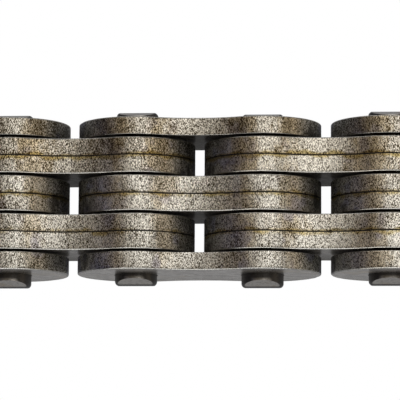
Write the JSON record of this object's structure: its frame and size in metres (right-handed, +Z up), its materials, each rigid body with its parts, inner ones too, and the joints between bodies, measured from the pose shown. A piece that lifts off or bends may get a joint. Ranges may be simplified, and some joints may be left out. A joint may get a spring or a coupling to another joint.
{
  "type": "leaf chain length",
  "caption": "Straight length of heavy leaf chain: figure-eight steel plates laced side by side on riveted pins, hinged at every pin.",
  "frame": {"origin": "middle of the length and width, at the level the plate edges rest on", "axes": "+X along the chain towards the end with open pin holes, +Y along the pins, +Z up"},
  "size_m": [0.34, 0.0534, 0.0353],
  "materials": {
    "plate_steel": "oiled, rough punched edges",
    "pin_steel": "smooth ground, riveted ends"
  },
  "bodies": {
    "outer_link_1": {"outer_link_1_plate_1": "plate_steel", "outer_link_1_plate_4": "plate_steel", "outer_link_1_plate_5": "plate_steel", "outer_link_1_plate_8": "plate_steel", "pin_1": "pin_steel", "pin_2": "pin_steel"},
    "inner_link_1": {"inner_link_1_plate_2": "plate_steel", "inner_link_1_plate_3": "plate_steel", "inner_link_1_plate_6": "plate_steel", "inner_link_1_plate_7": "plate_steel"},
    "outer_link_2": {"outer_link_2_plate_1": "plate_steel", "outer_link_2_plate_4": "plate_steel", "outer_link_2_plate_5": "plate_steel", "outer_link_2_plate_8": "plate_steel", "pin_3": "pin_steel", "pin_4": "pin_steel"},
    "inner_link_2": {"inner_link_2_plate_2": "plate_steel", "inner_link_2_plate_3": "plate_steel", "inner_link_2_plate_6": "plate_steel", "inner_link_2_plate_7": "plate_steel"},
    "outer_link_3": {"outer_link_3_plate_1": "plate_steel", "outer_link_3_plate_4": "plate_steel", "outer_link_3_plate_5": "plate_steel", "outer_link_3_plate_8": "plate_steel", "pin_5": "pin_steel", "pin_6": "pin_steel"},
    "inner_link_3": {"inner_link_3_plate_2": "plate_steel", "inner_link_3_plate_3": "plate_steel", "inner_link_3_plate_6": "plate_steel", "inner_link_3_plate_7": "plate_steel"},
    "outer_link_4": {"outer_link_4_plate_1": "plate_steel", "outer_link_4_plate_4": "plate_steel", "outer_link_4_plate_5": "plate_steel", "outer_link_4_plate_8": "plate_steel", "pin_7": "pin_steel", "pin_8": "pin_steel"},
    "inner_link_4": {"inner_link_4_plate_2": "plate_steel", "inner_link_4_plate_3": "plate_steel", "inner_link_4_plate_6": "plate_steel", "inner_link_4_plate_7": "plate_steel"}
  },
  "joints": [
    {"name": "pin_6_hinge", "type": "hinge", "parent": "outer_link_3", "child": "inner_link_3", "pos_m": [0.0381, 0, 0.01765], "axis": [0, -1, 0], "range_deg": [-40, 40]},
    {"name": "pin_7_hinge", "type": "hinge", "parent": "inner_link_3", "child": "outer_link_4", "pos_m": [0.0762, 0, 0.01765], "axis": [0, -1, 0], "range_deg": [-40, 40]},
    {"name": "pin_8_hinge", "type": "hinge", "parent": "outer_link_4", "child": "inner_link_4", "pos_m": [0.1143, 0, 0.01765], "axis": [0, -1, 0], "range_deg": [-40, 40]},
    {"name": "pin_5_hinge", "type": "hinge", "parent": "outer_link_3", "child": "inner_link_2", "pos_m": [0, 0, 0.01765], "axis": [0, 1, 0], "range_deg": [-40, 40]},
    {"name": "pin_4_hinge", "type": "hinge", "parent": "inner_link_2", "child": "outer_link_2", "pos_m": [-0.0381, 0, 0.01765], "axis": [0, 1, 0], "range_deg": [-40, 40]},
    {"name": "pin_3_hinge", "type": "hinge", "parent": "outer_link_2", "child": "inner_link_1", "pos_m": [-0.0762, 0, 0.01765], "axis": [0, 1, 0], "range_deg": [-40, 40]},
    {"name": "pin_2_hinge", "type": "hinge", "parent": "inner_link_1", "child": "outer_link_1", "pos_m": [-0.1143, 0, 0.01765], "axis": [0, 1, 0], "range_deg": [-40, 40]}
  ]
}
